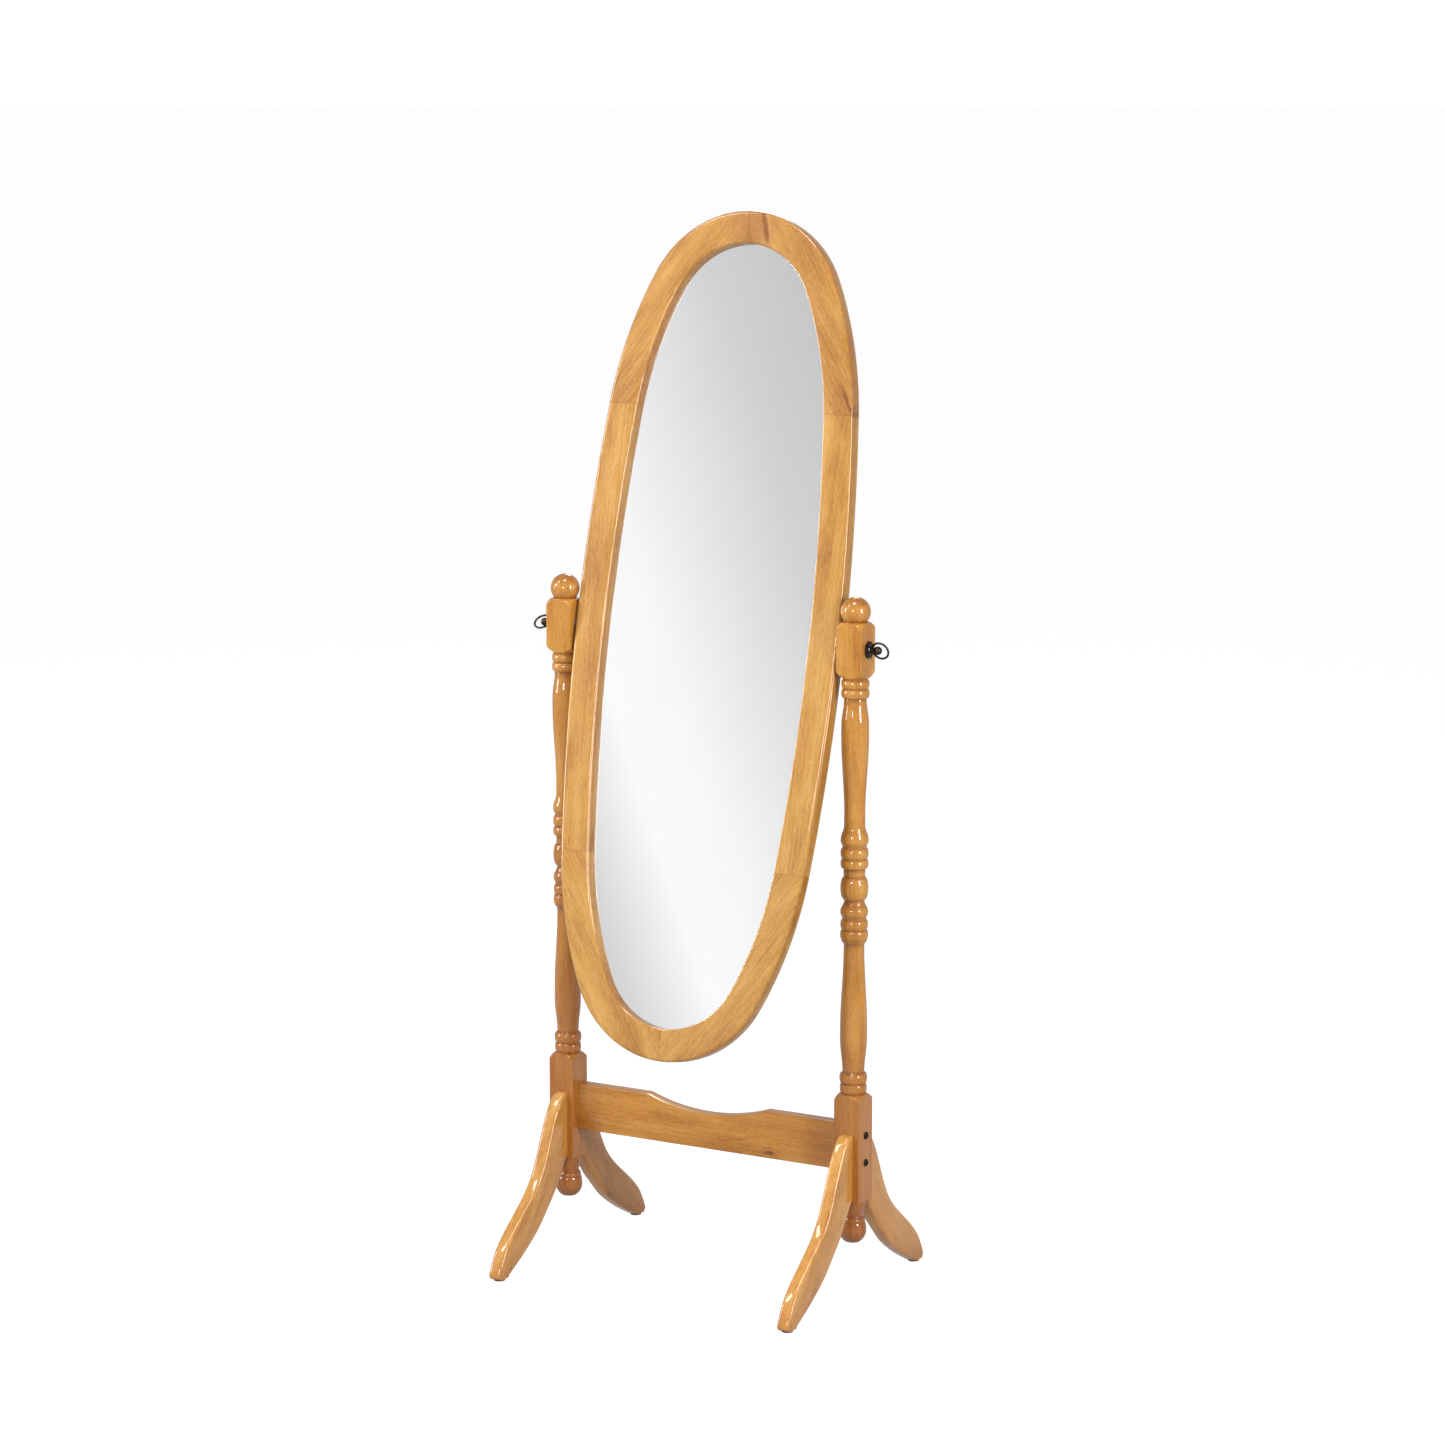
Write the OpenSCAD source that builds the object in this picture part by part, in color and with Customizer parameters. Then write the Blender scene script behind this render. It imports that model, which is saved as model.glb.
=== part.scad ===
// Cheval floor mirror: a tilting oval mirror between two turned posts on curved legs.
// Frame: X to the right seen from the front, Y backwards, Z up; origin on the floor at the centre.

/* [Overall] */
// Distance from the centre plane to each post axis
post_x = 234; // [224:1:250]
// Height of the tilting axis above the floor
pivot_z = 920; // [910:1:940]
// Backward tilt of the mirror at rest, degrees
tilt = 12.5; // [0:0.5:20]
// Reach of a toe from the centre plane
toe_y = 203.2; // [195:0.1:230]

/* [Oval frame] */
// Half width of the oval outline
oval_a = 211; // [200:0.5:212]
// Half height of the oval outline
oval_b = 597.4; // [590:0.1:605]
// Radius of the oval's two ends
end_r = 158; // [152:1:164]
// Radius of the oval's long sides
side_r = 3300; // [3100:50:3600]
// Height of the glued joints, where the side arcs turn into the corner arcs
side_v = 318; // [310:1:330]
// Width of the frame's face
band_w = 46; // [40:1:50]
// Thickness of the frame
band_t = 22; // [20:1:26]
// Depth of the glass behind the frame's face
glass_depth = 11.5; // [10:0.5:12.5]

/* [Posts] */
// Side of the square blocks
block_w = 40; // [38:1:42]
// Largest radius of the turned beads
bead_r = 19.5; // [18:0.5:20]
// Smallest radius of the turned waists
waist_r = 14.5; // [13:0.5:16]
// Radius of the ball on top
ball_r = 20.6; // [18:0.1:21]

/* [Legs and stretcher] */
// Thickness of a leg
leg_t = 20; // [18:1:24]
// Height at which a leg starts on the post
leg_top = 237; // [230:1:245]
// Thickness of the stretcher
rail_t = 20; // [18:1:24]
// Lower edge of the stretcher
rail_z0 = 182; // [178:1:184]
// Upper edge of the stretcher
rail_z1 = 250; // [248:1:262]
// Half length of the dip in the stretcher's upper edge
dip_half = 97; // [80:1:110]
// Depth of that dip
dip_d = 17; // [10:1:20]
// Thickness of the foot pads
pad_t = 3; // [2:0.5:4]

/* [Knobs] */
// Outside diameter of a knob's ring
ring_d = 27; // [26:0.5:28]
// Thickness of the ring's wire
wire_d = 3; // [2.5:0.1:3.2]
// Lean of the right ring from upright, degrees
ring_lean_r = 22; // [0:1:60]
// Lean of the left ring from upright, degrees
ring_lean_l = 50; // [0:1:60]

/* [Hidden] */
$fn = 96;
gap = 0.05;                        // radial clearance of pins, dowels and shanks
bh = block_w / 2;
post_in = post_x - bh;             // inner face of a post block
post_out = post_x + bh;            // outer face of a post block
low_z0 = 139.5;                    // lower block
low_z1 = 293;
up_z0 = 879;                       // upper block
up_z1 = 959;
bolt_z = [195, 234];
dowel_z = [165, 213];
shank_r = 3;
insert_r = 5;
insert_l = 18;
rosette_t = 4.5;
ring_cx = post_out + rosette_t + 0.25 + ring_d / 2;  // centre of a ring along the axis
knob_ball_x = ring_cx - 4.05;
knob_ball_r = 6;
nut_x = post_in - 25;              // centre of a cross nut
joint_v = side_v;                  // the six pieces meet at the ends of the side arcs
lip = 8;                           // width of the rebate that holds the glass
glass_t = 4;
panel_t = 3;
y_front = -band_t / 2;
y_glass = y_front + glass_depth;
y_panel = y_glass + glass_t;
y_behind = y_panel + panel_t;
y_back = band_t / 2;
clip_u = 18;                       // screw line of the clips, from the inner edge

// ---- centres and angles of the three arcs that make a quarter of the oval
th1 = asin(side_v / side_r);
c3 = [oval_a - side_r, 0];
p1 = [oval_a - side_r * (1 - cos(th1)), side_v];
u1 = [cos(th1), sin(th1)];
c1 = [0, oval_b - end_r];
d1 = p1 - c1;
corner_r = (d1 * d1 - end_r * end_r) / (2 * (d1 * u1 - end_r));
c2 = p1 - corner_r * u1;
th2 = atan2(c1[1] - c2[1], c1[0] - c2[0]);

function lerp(a, b, t) = a + (b - a) * t;
// points of one arc, offset inwards by off
function arc(c, r, a0, a1, n) = [for (i = [0:n]) c + r * [cos(lerp(a0, a1, i / n)), sin(lerp(a0, a1, i / n))]];
function quarter(off) = concat(
    arc(c3, side_r - off, 0, th1, 6),
    [for (i = [1:8]) c2 + (corner_r - off) * [cos(lerp(th1, th2, i / 8)), sin(lerp(th1, th2, i / 8))]],
    [for (i = [1:14]) c1 + (end_r - off) * [cos(lerp(th2, 90, i / 14)), sin(lerp(th2, 90, i / 14))]]);
function flip(p, sx, sz) = [for (q = p) [q[0] * sx, q[1] * sz]];
function rev(p) = [for (i = [len(p) - 1:-1:0]) p[i]];
function tail(p) = [for (i = [1:len(p) - 1]) p[i]];
function oval(off) = concat(quarter(off), tail(rev(flip(quarter(off), -1, 1))),
    tail(flip(quarter(off), -1, -1)), [for (i = [len(quarter(off)) - 2:-1:1]) flip(quarter(off), 1, -1)[i]]);

// smooth curve through points (Catmull-Rom), n steps to a span
function cr(a, b, c, d, t) = 0.5 * (2 * b + (c - a) * t + (2 * a - 5 * b + 4 * c - d) * t * t
    + (3 * b - a - 3 * c + d) * t * t * t);
function spline(p, n) = concat([for (i = [0:len(p) - 2], k = [0:n - 1])
    cr(p[max(i - 1, 0)], p[i], p[i + 1], p[min(i + 2, len(p) - 1)], k / n)], [p[len(p) - 1]]);

// turned bead between two heights: base radius rb, top of the bead rm
function bead(z0, z1, rb, rm, n = 8) = [for (i = [0:n]) [rb + (rm - rb) * sin(180 * i / n),
    lerp(z0, z1, (1 - cos(180 * i / n)) / 2)]];
// soft taper from one radius to another
function taper(z0, r0, z1, r1, n = 6) = [for (i = [0:n]) [lerp(r0, r1, (1 - cos(180 * i / n)) / 2), lerp(z0, z1, i / n)]];

sq = bh * sqrt(2) + 0.4;           // wider than a block's corners
turning = concat(
    [[0, low_z0], [sq, low_z0], [sq, low_z1 - 9], [25, low_z1 - 4.6], [21.8, low_z1 - 2], [18, low_z1]],
    bead(294, 307.5, 17, bead_r - 0.5), bead(308.3, 322.5, 17, bead_r),
    taper(324, 15.5, 372, bead_r - 0.4), taper(386, bead_r - 0.5, 503, waist_r, 10),
    taper(506, waist_r + 0.3, 511.5, 18, 3), bead(513, 525.7, 18, bead_r),
    bead(527, 541, 17, bead_r - 0.2), taper(542.5, 17, 551, bead_r, 4), taper(553.5, bead_r - 0.2, 566.5, waist_r, 6),
    [[waist_r, 568.6]], bead(569.6, 601, waist_r + 0.5, bead_r, 10),
    taper(603, waist_r + 0.6, 612, waist_r + 0.8, 2), bead(613.4, 626.3, 17, bead_r),
    bead(627.4, 642, 17, bead_r), taper(643.5, 17, 652, bead_r, 4), taper(655, bead_r - 0.2, 673, waist_r + 0.3, 6),
    taper(690, waist_r + 0.2, 800, bead_r - 0.2, 10), taper(815, bead_r - 0.3, 849, 15.7, 6),
    [[15.4, 851]], bead(852.2, 864.8, 17, bead_r), bead(865.8, 877.6, 17, bead_r),
    [[17.4, up_z0], [21.5, up_z0 + 3], [25.5, up_z0 + 6.6], [sq, up_z0 + 11.5],
     [sq, up_z1 - 11.5], [25.5, up_z1 - 6.6], [21.5, up_z1 - 3], [15.5, up_z1 - 0.4]],
    [for (i = [0:11]) let (a = lerp(-50, 90, i / 11)) [ball_r * cos(a) + (i == 11 ? 0 : 0.001), 992 - ball_r + ball_r * sin(a)]],
    [[0, 992]]);

leg_outer = [[bh, leg_top], [27, leg_top - 1.6], [33, leg_top - 6], [39, leg_top - 12.5], [52, 205], [66, 176],
    [78.5, 149], [93, 124.5], [113, 103], [140, 81.5], [165, 62], [toe_y - 18, 42.5], [toe_y - 6.4, 24],
    [toe_y, 9.5], [toe_y - 0.9, 5], [toe_y - 4, pad_t]];
leg_under = [[toe_y - 25, pad_t], [158, 13], [131, 28], [97, 51], [70, 77], [47.7, 100.5], [bh, low_z0 + 1]];
pad_y = toe_y - 14.6;

// frame section: x from the inner edge, y towards the front
section = [[0, -y_glass], [0, -y_front - 3], [0.4, -y_front - 1.5], [1.5, -y_front - 0.4], [3, -y_front],
    [band_w - 3, -y_front], [band_w - 1.5, -y_front - 0.4], [band_w - 0.4, -y_front - 1.5], [band_w, -y_front - 3],
    [band_w, -y_back + 2], [band_w - 0.6, -y_back + 0.6], [band_w - 2, -y_back], [lip, -y_back], [lip, -y_glass]];

// ---- helpers
module along_x(x0, x1, r) { translate([x0, 0, 0]) rotate([0, 90, 0]) cylinder(r = r, h = x1 - x0); }
module along_y(y0, y1, r) { translate([0, y0, 0]) rotate([-90, 0, 0]) cylinder(r = r, h = y1 - y0); }
module tilted() { translate([0, 0, pivot_z]) rotate([-tilt, 0, 0]) children(); }

// ---- stand
module post() {
    difference() {
        intersection() {
            rotate_extrude() polygon(turning);
            union() {
                translate([-bh, -bh, low_z0 - 1]) cube([block_w, block_w, low_z1 - low_z0 + 1.5]);
                translate([0, 0, low_z1 + 0.2]) cylinder(r = 24, h = up_z0 - low_z1 - 0.4);
                translate([-bh, -bh, up_z0 - 0.5]) cube([block_w, block_w, up_z1 - up_z0 + 0.5]);
                translate([0, 0, up_z1 - 0.3]) cylinder(r = 24, h = 60);
            }
        }
        translate([0, 0, pivot_z]) along_x(-bh - 1, bh + 1, shank_r + gap);
        for (z = bolt_z) translate([0, 0, z]) along_x(-bh - 1, bh + 1, shank_r + gap);
        for (z = dowel_z) translate([0, 0, z]) {
            along_y(-bh - 1, -7.5, 4 + gap);
            along_y(7.5, bh + 1, 4 + gap);
        }
        translate([0, 0, low_z0 - 1]) cylinder(r = 6 + gap, h = 20);
    }
}
module left_post() { color("peru") translate([-post_x, 0, 0]) post(); }
module right_post() { color("peru") translate([post_x, 0, 0]) post(); }

module drop_finial() {
    rotate_extrude() polygon([[0, 79], [11, 79], [14.4, 82], [17.4, 86.4], [19.2, 91.2], [19.6, 96], [19.3, 101],
        [18.4, 105.4], [17.6, 107.4], [17.1, 108.2], [17.5, 109.2], [17.5, 111.4], [16.9, 113], [15, 115.4],
        [14.5, 116.6], [14.7, 118], [15.6, 122.5], [17.2, 130], [18.6, 138.6], [18, low_z0], [6, low_z0],
        [6, low_z0 + 18], [0, low_z0 + 18]]);
}
module left_drop_finial() { color("peru") translate([-post_x, 0, 0]) drop_finial(); }
module right_drop_finial() { color("peru") translate([post_x, 0, 0]) drop_finial(); }

module leg() {
    outline = concat(spline(leg_outer, 3), spline(leg_under, 4));
    difference() {
        translate([-leg_t / 2, 0, 0]) rotate([90, 0, 90]) linear_extrude(height = leg_t)
            polygon([for (p = outline) [max(bh, min(p[0], toe_y)), max(p[1], pad_t)]]);
        for (z = dowel_z) translate([0, 0, z]) along_y(bh - 1, 36.5, 4 + gap);
    }
}
module front_left_leg() { color("burlywood") translate([-post_x, 0, 0]) mirror([0, 1, 0]) leg(); }
module rear_left_leg() { color("burlywood") translate([-post_x, 0, 0]) leg(); }
module front_right_leg() { color("burlywood") translate([post_x, 0, 0]) mirror([0, 1, 0]) leg(); }
module rear_right_leg() { color("burlywood") translate([post_x, 0, 0]) leg(); }
module leg_dowels() {
    color("wheat") for (sx = [-1, 1], sy = [-1, 1], z = dowel_z)
        translate([sx * post_x, 0, z]) along_y(sy < 0 ? -36 : 8, sy < 0 ? -8 : 36, 4);
}
module stretcher() {
    dip_r = (dip_half * dip_half + dip_d * dip_d) / (2 * dip_d);
    color("burlywood") difference() {
        translate([-post_in, -rail_t / 2, rail_z0]) cube([2 * post_in, rail_t, rail_z1 - rail_z0]);
        translate([0, 0, rail_z1 - dip_d + dip_r]) along_y(-rail_t, rail_t, dip_r);
        for (s = [-1, 1], z = bolt_z) translate([0, 0, z]) {
            along_x(s < 0 ? -post_in - 1 : nut_x - 11, s < 0 ? -nut_x + 11 : post_in + 1, shank_r + gap);
            translate([s * nut_x, 0, 0]) along_y(-rail_t / 2 + 3, rail_t, insert_r + gap);
        }
    }
}
module stretcher_bolts() {
    color("dimgray") for (s = [-1, 1], z = bolt_z) translate([0, 0, z]) mirror([s < 0 ? 1 : 0, 0, 0]) union() {
        along_x(nut_x - 9, post_out + 0.5, shank_r);
        translate([post_out, 0, 0]) rotate([0, 90, 0])
            rotate_extrude() polygon([[0, 0], [5.3, 0], [5.3, 0.8], [4.7, 2], [3.4, 2.9], [1.9, 3.2], [1.9, 1.4], [0, 1.4]]);
    }
}
module stretcher_nuts() {
    color("silver") for (s = [-1, 1], z = bolt_z) translate([s * nut_x, 0, z]) difference() {
        along_y(-rail_t / 2 + 3.2, rail_t / 2 - 0.2, insert_r);
        along_x(-insert_r - 1, insert_r + 1, shank_r + gap);
    }
}
module foot_pads() {
    color("dimgray") for (sx = [-1, 1], sy = [-1, 1]) translate([sx * post_x, sy * pad_y, 0]) cylinder(r = 8, h = pad_t);
}
module spacer() {
    translate([0, 0, pivot_z]) difference() {
        along_x(oval_a + 0.4, post_in, 9);
        along_x(oval_a - 1, post_in + 1, shank_r + gap);
    }
}
module left_spacer() { color("gray") mirror([1, 0, 0]) spacer(); }
module right_spacer() { color("gray") spacer(); }

// ---- mirror, drawn upright about the tilting axis and then tilted
// one arc of the frame; a section a hair smaller lets neighbouring arcs join by overlapping
module sector(c, r, a0, a1, inset = 0) {
    k = 1 - inset;
    rotate([90, 0, 0]) translate([c[0], c[1], 0]) rotate([0, 0, a0]) rotate_extrude(angle = a1 - a0, $fn = 720)
        polygon([for (p = section) [r - band_w / 2 + (p[0] - band_w / 2) * k, p[1] * k]]);
}
// clip positions on the upper right quarter: [centre, radius, angle]
clip_at = [[c3, side_r, 1.9], [c2, corner_r, lerp(th1, th2, 0.5)], [c1, end_r, 58]];
module at_clips(quads) {
    for (q = quads, c = clip_at) mirror([q[0] < 0 ? 1 : 0, 0, 0]) mirror([0, 0, q[1] < 0 ? 1 : 0])
        translate([c[0][0], 0, c[0][1]]) rotate([0, -c[2], 0]) translate([c[1] - band_w, 0, 0]) children();
}
module clip_holes(quads) { at_clips(quads) translate([clip_u, 0, 0]) along_y(y_back - 10.5, y_back + 1, 1.5 + gap); }
module side_piece() {
    dz = asin((joint_v + 6) / side_r);
    difference() {
        intersection() {
            sector(c3, side_r, -dz, dz);
            translate([0, -band_t, -joint_v]) cube([oval_a + 10, 2 * band_t, 2 * joint_v]);
        }
        along_x(oval_a - insert_l - 2, oval_a + 1, insert_r + gap);
        clip_side_holes();
        dowel_holes();
    }
}
module clip_side_holes() {
    for (s = [-1, 1]) mirror([0, 0, s < 0 ? 1 : 0]) translate([c3[0], 0, 0]) rotate([0, -clip_at[0][2], 0])
        translate([side_r - band_w + clip_u, 0, 0]) along_y(y_back - 10.5, y_back + 1, 1.5 + gap);
}
module corner_piece() {
    difference() {
        intersection() {
            union() {
                sector(c2, corner_r, th1 - 0.7, th2 + 0.4, 0.003);
                sector(c1, end_r, th2, 90);
            }
            translate([0, -band_t, joint_v]) cube([oval_a + 10, 2 * band_t, oval_b]);
        }
        for (c = [clip_at[1], clip_at[2]]) translate([c[0][0], 0, c[0][1]]) rotate([0, -c[2], 0])
            translate([c[1] - band_w + clip_u, 0, 0]) along_y(y_back - 10.5, y_back + 1, 1.5 + gap);
        dowel_holes();
    }
}
// dowels across the glued joints: two beside each other in each joint
edge_x = oval_a - side_r * (1 - cos(asin(joint_v / side_r))) - band_w;
dowel_u = [15, 33];
module dowel_holes() {
    for (s = [-1, 1], u = dowel_u) translate([edge_x + u, 0, s * joint_v - 15.5]) cylinder(r = 3 + gap, h = 31);
    for (s = [-1, 1], u = dowel_u) translate([0, 0, s * (oval_b - band_w + u)]) along_x(-15.5, 15.5, 3 + gap);
}
module frame_dowels() {
    color("wheat") tilted() {
        for (sx = [-1, 1], s = [-1, 1], u = dowel_u) translate([sx * (edge_x + u), 0, s * joint_v - 15]) cylinder(r = 3, h = 30);
        for (s = [-1, 1], u = dowel_u) translate([0, 0, s * (oval_b - band_w + u)]) along_x(-15, 15, 3);
    }
}
module frame_right_side() { color("sandybrown") tilted() side_piece(); }
module frame_left_side() { color("sandybrown") tilted() mirror([1, 0, 0]) side_piece(); }
module frame_top_right() { color("goldenrod") tilted() corner_piece(); }
module frame_top_left() { color("goldenrod") tilted() mirror([1, 0, 0]) corner_piece(); }
module frame_bottom_right() { color("goldenrod") tilted() mirror([0, 0, 1]) corner_piece(); }
module frame_bottom_left() { color("goldenrod") tilted() mirror([1, 0, 0]) mirror([0, 0, 1]) corner_piece(); }
module sheet(off, y0, t) { translate([0, y0 + t, 0]) rotate([90, 0, 0]) linear_extrude(height = t) polygon(oval(off)); }
module mirror_glass() { color("lightblue") tilted() sheet(band_w - lip + 1, y_glass, glass_t); }
module backing_panel() { color("saddlebrown") tilted() sheet(band_w - lip + 1, y_panel, panel_t); }
module back_clips() {
    color("silver") tilted() at_clips([[1, 1], [-1, 1], [1, -1], [-1, -1]]) difference() {
        translate([0, 0, -5]) linear_extrude(height = 10)
            polygon([[-1, y_behind], [lip - 1.4, y_behind], [lip - 1.4, y_behind], [lip - 0.4, y_behind],
                [lip - 0.4, y_back], [24, y_back], [24, y_back + 1], [lip - 1.4, y_back + 1],
                [lip - 1.4, y_behind + 1], [-1, y_behind + 1]]);
        translate([clip_u, 0, 0]) along_y(y_back - 2, y_back + 2, 1.5 + gap);
    }
}
module clip_screws() {
    color("gray") tilted() at_clips([[1, 1], [-1, 1], [1, -1], [-1, -1]]) translate([clip_u, 0, 0]) union() {
        along_y(y_back - 10, y_back + 1.2, 1.5);
        translate([0, y_back + 1, 0]) rotate([-90, 0, 0])
            rotate_extrude() polygon([[0, 0], [3, 0], [2.8, 0.9], [2, 1.6], [0, 1.9]]);
    }
}
module pivot_insert() {
    difference() {
        along_x(oval_a - insert_l - 0.4, oval_a - 0.4, insert_r);
        along_x(oval_a - insert_l - 1, oval_a + 1, shank_r + gap);
    }
}
module left_pivot_insert() { color("gold") tilted() mirror([1, 0, 0]) pivot_insert(); }
module right_pivot_insert() { color("gold") tilted() pivot_insert(); }

// ---- knobs, drawn on the right side
module rosette() {
    translate([post_out, 0, pivot_z]) rotate([0, 90, 0]) difference() {
        rotate_extrude() polygon([[0, 0], [12, 0], [12, 1.6], [11.2, 2.6], [9.4, 3], [7.4, 2.5], [6.2, 3], [5, 4.1],
            [4.4, rosette_t], [0, rosette_t]]);
        translate([0, 0, -1]) cylinder(r = shank_r + gap, h = rosette_t + 2);
    }
}
module knob_screw() {
    difference() {
        translate([0, 0, pivot_z]) union() {
            along_x(oval_a - insert_l + 2, knob_ball_x - 3, shank_r);
            translate([post_out + rosette_t + 0.1, 0, 0]) rotate([0, 90, 0]) rotate_extrude()
                polygon([[0, 0], [3.9, 0], [3.9, 2.6], [3.3, 3.6], [3.3, 4.6], [0, 4.6]]);
            translate([knob_ball_x, 0, 0]) sphere(r = knob_ball_r);
        }
        children();
    }
}
module ring_at(lean, grow) {
    translate([ring_cx, 0, pivot_z]) rotate([lean, 0, 0]) rotate([90, 0, 0])
        rotate_extrude() translate([(ring_d - wire_d) / 2, 0]) circle(r = wire_d / 2 + grow, $fn = 48);
}
module left_rosette() { color("dimgray") mirror([1, 0, 0]) rosette(); }
module right_rosette() { color("dimgray") rosette(); }
module left_knob_screw() { color("black") mirror([1, 0, 0]) knob_screw() ring_at(-ring_lean_l, gap); }
module right_knob_screw() { color("black") knob_screw() ring_at(ring_lean_r, gap); }
module left_ring() { color("black") mirror([1, 0, 0]) ring_at(-ring_lean_l, 0); }
module right_ring() { color("black") ring_at(ring_lean_r, 0); }

left_post();
right_post();
left_drop_finial();
right_drop_finial();
stretcher();
front_left_leg();
rear_left_leg();
front_right_leg();
rear_right_leg();
leg_dowels();
stretcher_bolts();
stretcher_nuts();
foot_pads();
left_spacer();
right_spacer();
frame_left_side();
frame_right_side();
frame_top_left();
frame_top_right();
frame_bottom_left();
frame_bottom_right();
frame_dowels();
mirror_glass();
backing_panel();
back_clips();
clip_screws();
left_pivot_insert();
right_pivot_insert();
left_rosette();
right_rosette();
left_knob_screw();
right_knob_screw();
left_ring();
right_ring();
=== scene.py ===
import math
import random

import bmesh
import bpy
from mathutils import Matrix, Vector


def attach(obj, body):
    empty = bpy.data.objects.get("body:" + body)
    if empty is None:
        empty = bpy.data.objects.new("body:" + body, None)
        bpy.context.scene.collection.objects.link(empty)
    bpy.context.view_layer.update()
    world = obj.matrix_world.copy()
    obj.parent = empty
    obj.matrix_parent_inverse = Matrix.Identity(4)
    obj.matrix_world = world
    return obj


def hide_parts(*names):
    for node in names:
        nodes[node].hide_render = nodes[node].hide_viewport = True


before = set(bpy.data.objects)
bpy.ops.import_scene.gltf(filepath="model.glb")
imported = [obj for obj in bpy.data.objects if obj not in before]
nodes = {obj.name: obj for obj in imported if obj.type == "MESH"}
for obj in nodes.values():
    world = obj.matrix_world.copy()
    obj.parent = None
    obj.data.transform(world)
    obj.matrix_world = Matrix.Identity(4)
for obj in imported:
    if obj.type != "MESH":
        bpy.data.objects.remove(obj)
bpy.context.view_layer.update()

# ------------------------------------------------------------------ camera
PITCH, YAW = 0.1732, 0.5197          # downwards, and to the left, in radians
LENS, SENSOR = 104.6, 36             # in millimetres
CAMERA_AT = (2.898, -5.0233, 1.8118)

cam_data = bpy.data.cameras.new("camera")
cam_data.lens, cam_data.sensor_width = LENS, SENSOR
cam_data.clip_start, cam_data.clip_end = 0.1, 200
camera = bpy.data.objects.new("camera", cam_data)
camera.location = CAMERA_AT
camera.rotation_euler = (math.pi / 2 - PITCH, 0, YAW)
bpy.context.scene.collection.objects.link(camera)
bpy.context.scene.camera = camera
bpy.context.scene.view_settings.view_transform = "Standard"

# ------------------------------------------------------------------ sizes, in millimetres
MM = 0.001                           # one of these millimetres in the scene's metres
POST_X = 234.0                       # from the middle to the axis of each post
PIVOT_Z, TILT = 920.0, 12.5          # height of the mirror's axis, and its lean at rest in degrees

BLOCK = 20.0                         # half side of a post's square blocks
ARRIS_R = 1.0                        # rounding of their corners
LOW, UP = (139.5, 293.0), (879.0, 959.0)        # heights at which the lower and upper blocks begin and end
BEAD, WAIST = 19.5, 14.5             # radius of a post's beads, and of its slimmest parts
BALL, BALL_TOP = 20.6, 992.0         # radius and top of the ball on a post

TOE_Y, PAD_T = 203.2, 3.0            # reach of a leg, and thickness of the pad under it
LEG_HALF, LEG_EASE = 10.0, 4.8       # half thickness, and rounding of the edges
RAIL_Z = (182.0, 250.0)              # lower and upper edge of the stretcher
RAIL_HALF, RAIL_EASE = 10.0, 2.2
DIP_HALF, DIP_DEPTH = 97.0, 17.0     # the hollow in its upper edge

OVAL_A, OVAL_B = 211.0, 597.4        # half width and half height of the frame's outer oval
SIDE_R, END_R = 3300.0, 158.0        # radii of its long sides and of its two ends
JOINT_V = 318.0                      # from the mirror's axis up and down to the glued joints
BAND, LIP = 46.0, 8.0                # width of the frame, and of the lip in front of the glass's edge
FRONT, BACK, GLASS_Y = 11.0, -11.0, -0.5        # faces of the frame and the glass, towards the front
LIP_R, FRONT_R, BACK_R = 3.0, 4.5, 2.0          # roundings at the glass, the outer front and the back
EASE, HAIR = 0.30, 0.35              # the hairline at a glued joint: its depth and its width

WELD = 0.004                         # points closer than this are one
EPS = 1e-6

# the mirror's own space: Z up the glass, from the middle of its axis
tilted = Matrix.Translation((0, 0, PIVOT_Z)) @ Matrix.Rotation(math.radians(-TILT), 4, "X")


def lerp(a, b, t):
    return a + (b - a) * t


def half_cos(t):
    return (1 - math.cos(math.pi * t)) / 2


def clamped(t):
    return max(0.0, min(1.0, t))


# ------------------------------------------------------------------ meshes
def make(name, verts, faces, body, replaces, material, place, grain, tone_and_shade, shade_and_stain=None, sharp=32):
    """A piece from points in millimetres. grain turns its own space so that the fibres run along Z.
    Its tone, 1 or less where the wood is darker (by its own tone, and on the rear legs by painted shade),
    and how much painted shade and stain darken it, from 0 to 1, in grooves, on edges and at joints, may be
    functions of the point. Edges sharper than sharp, in degrees, stay crisp."""
    me = bpy.data.meshes.new(name)
    me.from_pydata(verts, [], faces)
    bm = bmesh.new()
    bm.from_mesh(me)
    bmesh.ops.remove_doubles(bm, verts=bm.verts, dist=WELD)
    bmesh.ops.triangulate(bm, faces=[f for f in bm.faces if len(f.verts) > 4])
    bmesh.ops.recalc_face_normals(bm, faces=bm.faces)
    for f in bm.faces:
        f.smooth = True
    for e in bm.edges:
        if len(e.link_faces) == 2 and e.calc_face_angle() > math.radians(sharp):
            e.smooth = False
    bm.to_mesh(me)
    bm.free()
    # each attribute is filled as soon as it is made, since the next one moves its data
    spots = [v.co.copy() for v in me.vertices]
    along = [c for spot in spots for c in (grain @ spot) * MM]
    me.attributes.new("grain", "FLOAT_VECTOR", "POINT").data.foreach_set("vector", along)
    shade = [tone_and_shade(spot) if callable(tone_and_shade) else tone_and_shade for spot in spots]
    me.attributes.new("tone_and_shade", "FLOAT", "POINT").data.foreach_set("value", shade)
    deep = [shade_and_stain(spot) if shade_and_stain else 0.0 for spot in spots]
    me.attributes.new("shade_and_stain", "FLOAT", "POINT").data.foreach_set("value", deep)
    me.transform(Matrix.Scale(MM, 4) @ place)
    me.materials.append(material)
    obj = bpy.data.objects.new(name, me)
    bpy.context.scene.collection.objects.link(obj)
    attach(obj, body)
    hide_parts(*replaces)


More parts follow.
